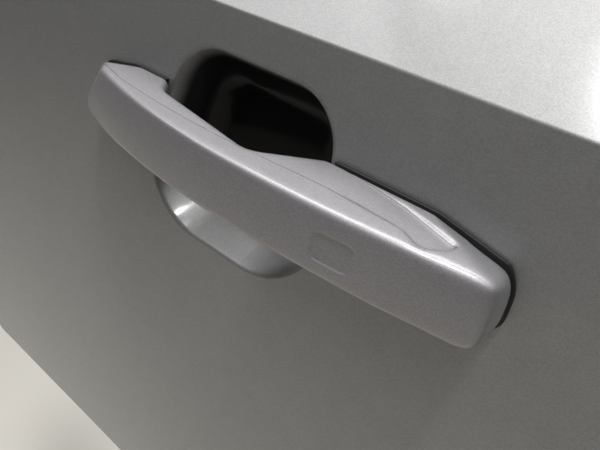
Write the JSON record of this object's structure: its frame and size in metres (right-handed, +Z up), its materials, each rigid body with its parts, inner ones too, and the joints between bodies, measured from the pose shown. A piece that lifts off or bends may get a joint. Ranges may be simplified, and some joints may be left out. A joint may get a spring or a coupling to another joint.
{
  "type": "exterior car door handle in its section of door skin",
  "caption": "Pull handle that swings out on a pin at one end, over a finger cup pressed in a section of door skin, with the carrier, latch lever and return spring behind it.",
  "frame": {"origin": "middle between the carrier's two fixing holes, on the plane of their bosses' ends", "axes": "+X along the handle from its pivot end to its pull end, +Y into the door, +Z up"},
  "size_m": [0.44, 0.088, 0.398],
  "materials": {
    "door_paint": "metallic clear coat",
    "handle_paint": "metallic clear coat",
    "gasket_rubber": "matte",
    "carrier_plastic": "moulded",
    "arm_plastic": "moulded",
    "lever_plastic": "moulded",
    "bright_steel": "zinc plated",
    "spring_steel": "drawn wire",
    "weight_metal": "cast"
  },
  "bodies": {
    "root": {"door_skin": "door_paint", "front_gasket": "gasket_rubber", "rear_gasket": "gasket_rubber", "carrier": "carrier_plastic", "pivot_pin": "bright_steel", "lever_pin": "bright_steel", "skin_screws": "bright_steel", "return_spring": "spring_steel"},
    "handle": {"handle_cover": "handle_paint", "handle_back": "handle_paint", "pivot_arm": "arm_plastic", "pull_arm": "arm_plastic"},
    "lever": {"lever": "lever_plastic", "counterweight": "weight_metal"}
  },
  "joints": [
    {"name": "handle_swing", "type": "hinge", "parent": "root", "child": "handle", "pos_m": [-0.112, -0.036, 0], "axis": [0, 0, -1], "range_deg": [0, 9]},
    {"name": "lever_turn", "type": "hinge", "parent": "root", "child": "lever", "pos_m": [0.0635, -0.0235, -0.02], "axis": [1, 0, 0], "range_deg": [0, 66], "stiffness_Nm_per_rad": 0.35, "springref_deg": -57.3, "deforming": ["return_spring"]}
  ],
  "couplings": [
    {"joint": "lever_turn", "follows": "handle_swing", "ratio": 7.3333}
  ]
}
